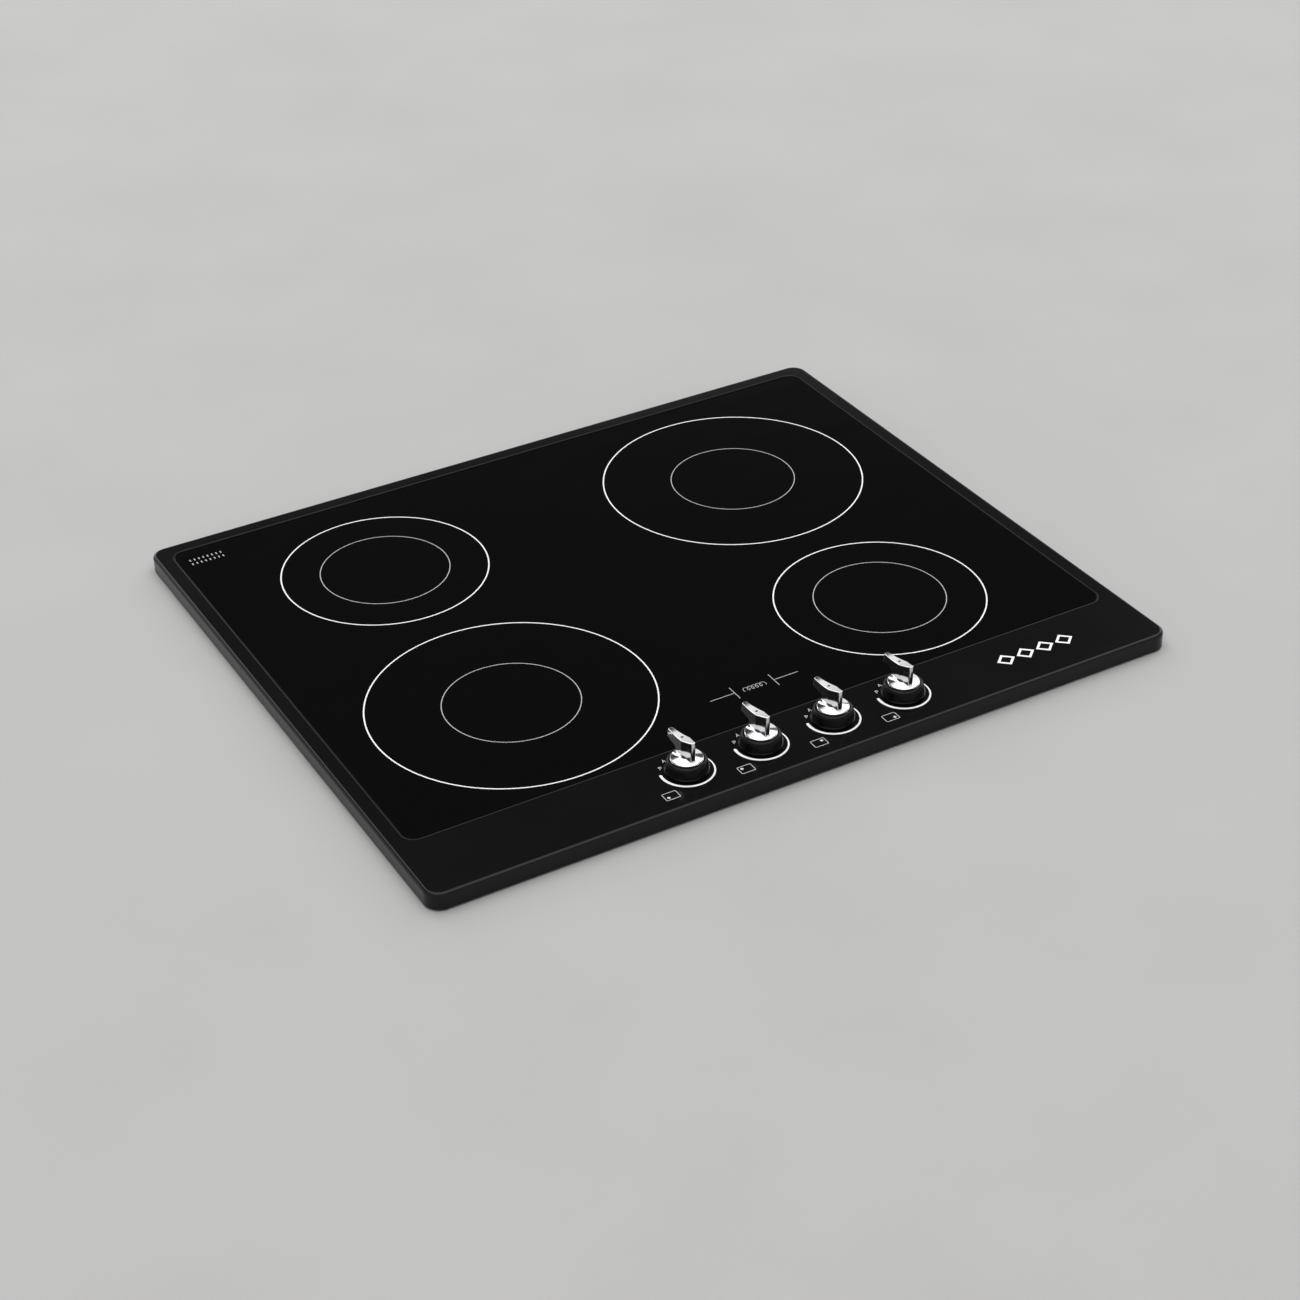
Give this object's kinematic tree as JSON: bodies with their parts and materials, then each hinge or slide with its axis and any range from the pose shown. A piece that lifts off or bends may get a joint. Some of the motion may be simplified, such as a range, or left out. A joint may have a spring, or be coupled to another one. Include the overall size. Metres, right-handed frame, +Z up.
{
  "type": "built-in induction cooktop",
  "caption": "Black built-in induction cooktop: raised enamelled frame, recessed glass panel with printed cooking zones, and turning knobs on the front deck.",
  "frame": {"origin": "middle of the frame in plan, on the worktop plane that the seal lies on", "axes": "+X to the right along the front edge, +Y to the rear, +Z up"},
  "size_m": [0.6, 0.51, 0.087],
  "materials": {
    "black_enamel": "satin",
    "black_glass_ceramic": "polished",
    "black_silicone": "satin",
    "black_foam": "matte",
    "zinc_steel": "satin",
    "zinc_screws": "satin",
    "spring_steel": "satin",
    "knob_black": "gloss",
    "knob_chrome": "polished",
    "shaft_steel": "satin",
    "encoder_body": "matte",
    "circuit_board": "satin",
    "sensor_cap": "matte",
    "plate_aluminium": "satin",
    "sink_aluminium": "satin",
    "litz_copper": "satin",
    "carrier_plastic": "matte",
    "ferrite": "matte",
    "mica_fibre": "matte",
    "white_nylon": "matte",
    "grey_terminal": "matte",
    "black_cover": "matte",
    "fan_black": "matte"
  },
  "bodies": {
    "hob": {"deck_frame": "black_enamel", "glass_panel": "black_glass_ceramic", "glass_bond_bead": "black_silicone", "worktop_seal": "black_foam", "base_casing": "zinc_steel", "casing_screws": "zinc_screws", "fixing_springs": "spring_steel", "fixing_spring_screws": "zinc_screws", "control_board": "circuit_board", "control_board_screws": "zinc_screws", "coil_sensors": "sensor_cap", "coil_support_plate": "plate_aluminium", "power_board_posts": "white_nylon", "terminal_block": "grey_terminal", "terminal_cover": "black_cover", "cable_gland": "black_cover", "encoder_1": "encoder_body", "encoder_2": "encoder_body", "encoder_3": "encoder_body", "encoder_4": "encoder_body", "coil_winding_front_left": "litz_copper", "coil_carrier_front_left": "carrier_plastic", "coil_ferrites_front_left": "ferrite", "coil_insulation_front_left": "mica_fibre", "coil_winding_rear_left": "litz_copper", "coil_carrier_rear_left": "carrier_plastic", "coil_ferrites_rear_left": "ferrite", "coil_insulation_rear_left": "mica_fibre", "coil_winding_rear_right": "litz_copper", "coil_carrier_rear_right": "carrier_plastic", "coil_ferrites_rear_right": "ferrite", "coil_insulation_rear_right": "mica_fibre", "coil_winding_front_right": "litz_copper", "coil_carrier_front_right": "carrier_plastic", "coil_ferrites_front_right": "ferrite", "coil_insulation_front_right": "mica_fibre", "power_board_left": "circuit_board", "heatsink_left": "sink_aluminium", "fan_housing_left": "fan_black", "power_board_right": "circuit_board", "heatsink_right": "sink_aluminium", "fan_housing_right": "fan_black"},
    "knob_1": {"knob_skirt_1": "knob_black", "knob_collar_1": "knob_chrome", "knob_lever_1": "knob_chrome", "control_shaft_1": "shaft_steel"},
    "knob_2": {"knob_skirt_2": "knob_black", "knob_collar_2": "knob_chrome", "knob_lever_2": "knob_chrome", "control_shaft_2": "shaft_steel"},
    "knob_3": {"knob_skirt_3": "knob_black", "knob_collar_3": "knob_chrome", "knob_lever_3": "knob_chrome", "control_shaft_3": "shaft_steel"},
    "knob_4": {"knob_skirt_4": "knob_black", "knob_collar_4": "knob_chrome", "knob_lever_4": "knob_chrome", "control_shaft_4": "shaft_steel"},
    "blower_rotor_left": {"fan_rotor_left": "fan_black"},
    "blower_rotor_right": {"fan_rotor_right": "fan_black"}
  },
  "joints": [
    {"name": "knob_1_turn", "type": "hinge", "parent": "hob", "child": "knob_1", "pos_m": [-0.0884, -0.219, 0.014], "axis": [0, 0, 1], "range_deg": [-333, 0]},
    {"name": "knob_2_turn", "type": "hinge", "parent": "hob", "child": "knob_2", "pos_m": [-0.0292, -0.219, 0.014], "axis": [0, 0, 1], "range_deg": [-333, 0]},
    {"name": "knob_3_turn", "type": "hinge", "parent": "hob", "child": "knob_3", "pos_m": [0.03, -0.219, 0.014], "axis": [0, 0, 1], "range_deg": [-333, 0]},
    {"name": "knob_4_turn", "type": "hinge", "parent": "hob", "child": "knob_4", "pos_m": [0.0892, -0.219, 0.014], "axis": [0, 0, 1], "range_deg": [-333, 0]},
    {"name": "blower_left_spin", "type": "hinge", "parent": "hob", "child": "blower_rotor_left", "pos_m": [-0.162, 0.112, -0.03], "axis": [0, 0, 1], "continuous": true},
    {"name": "blower_right_spin", "type": "hinge", "parent": "hob", "child": "blower_rotor_right", "pos_m": [0.162, 0.112, -0.03], "axis": [0, 0, 1], "continuous": true}
  ]
}
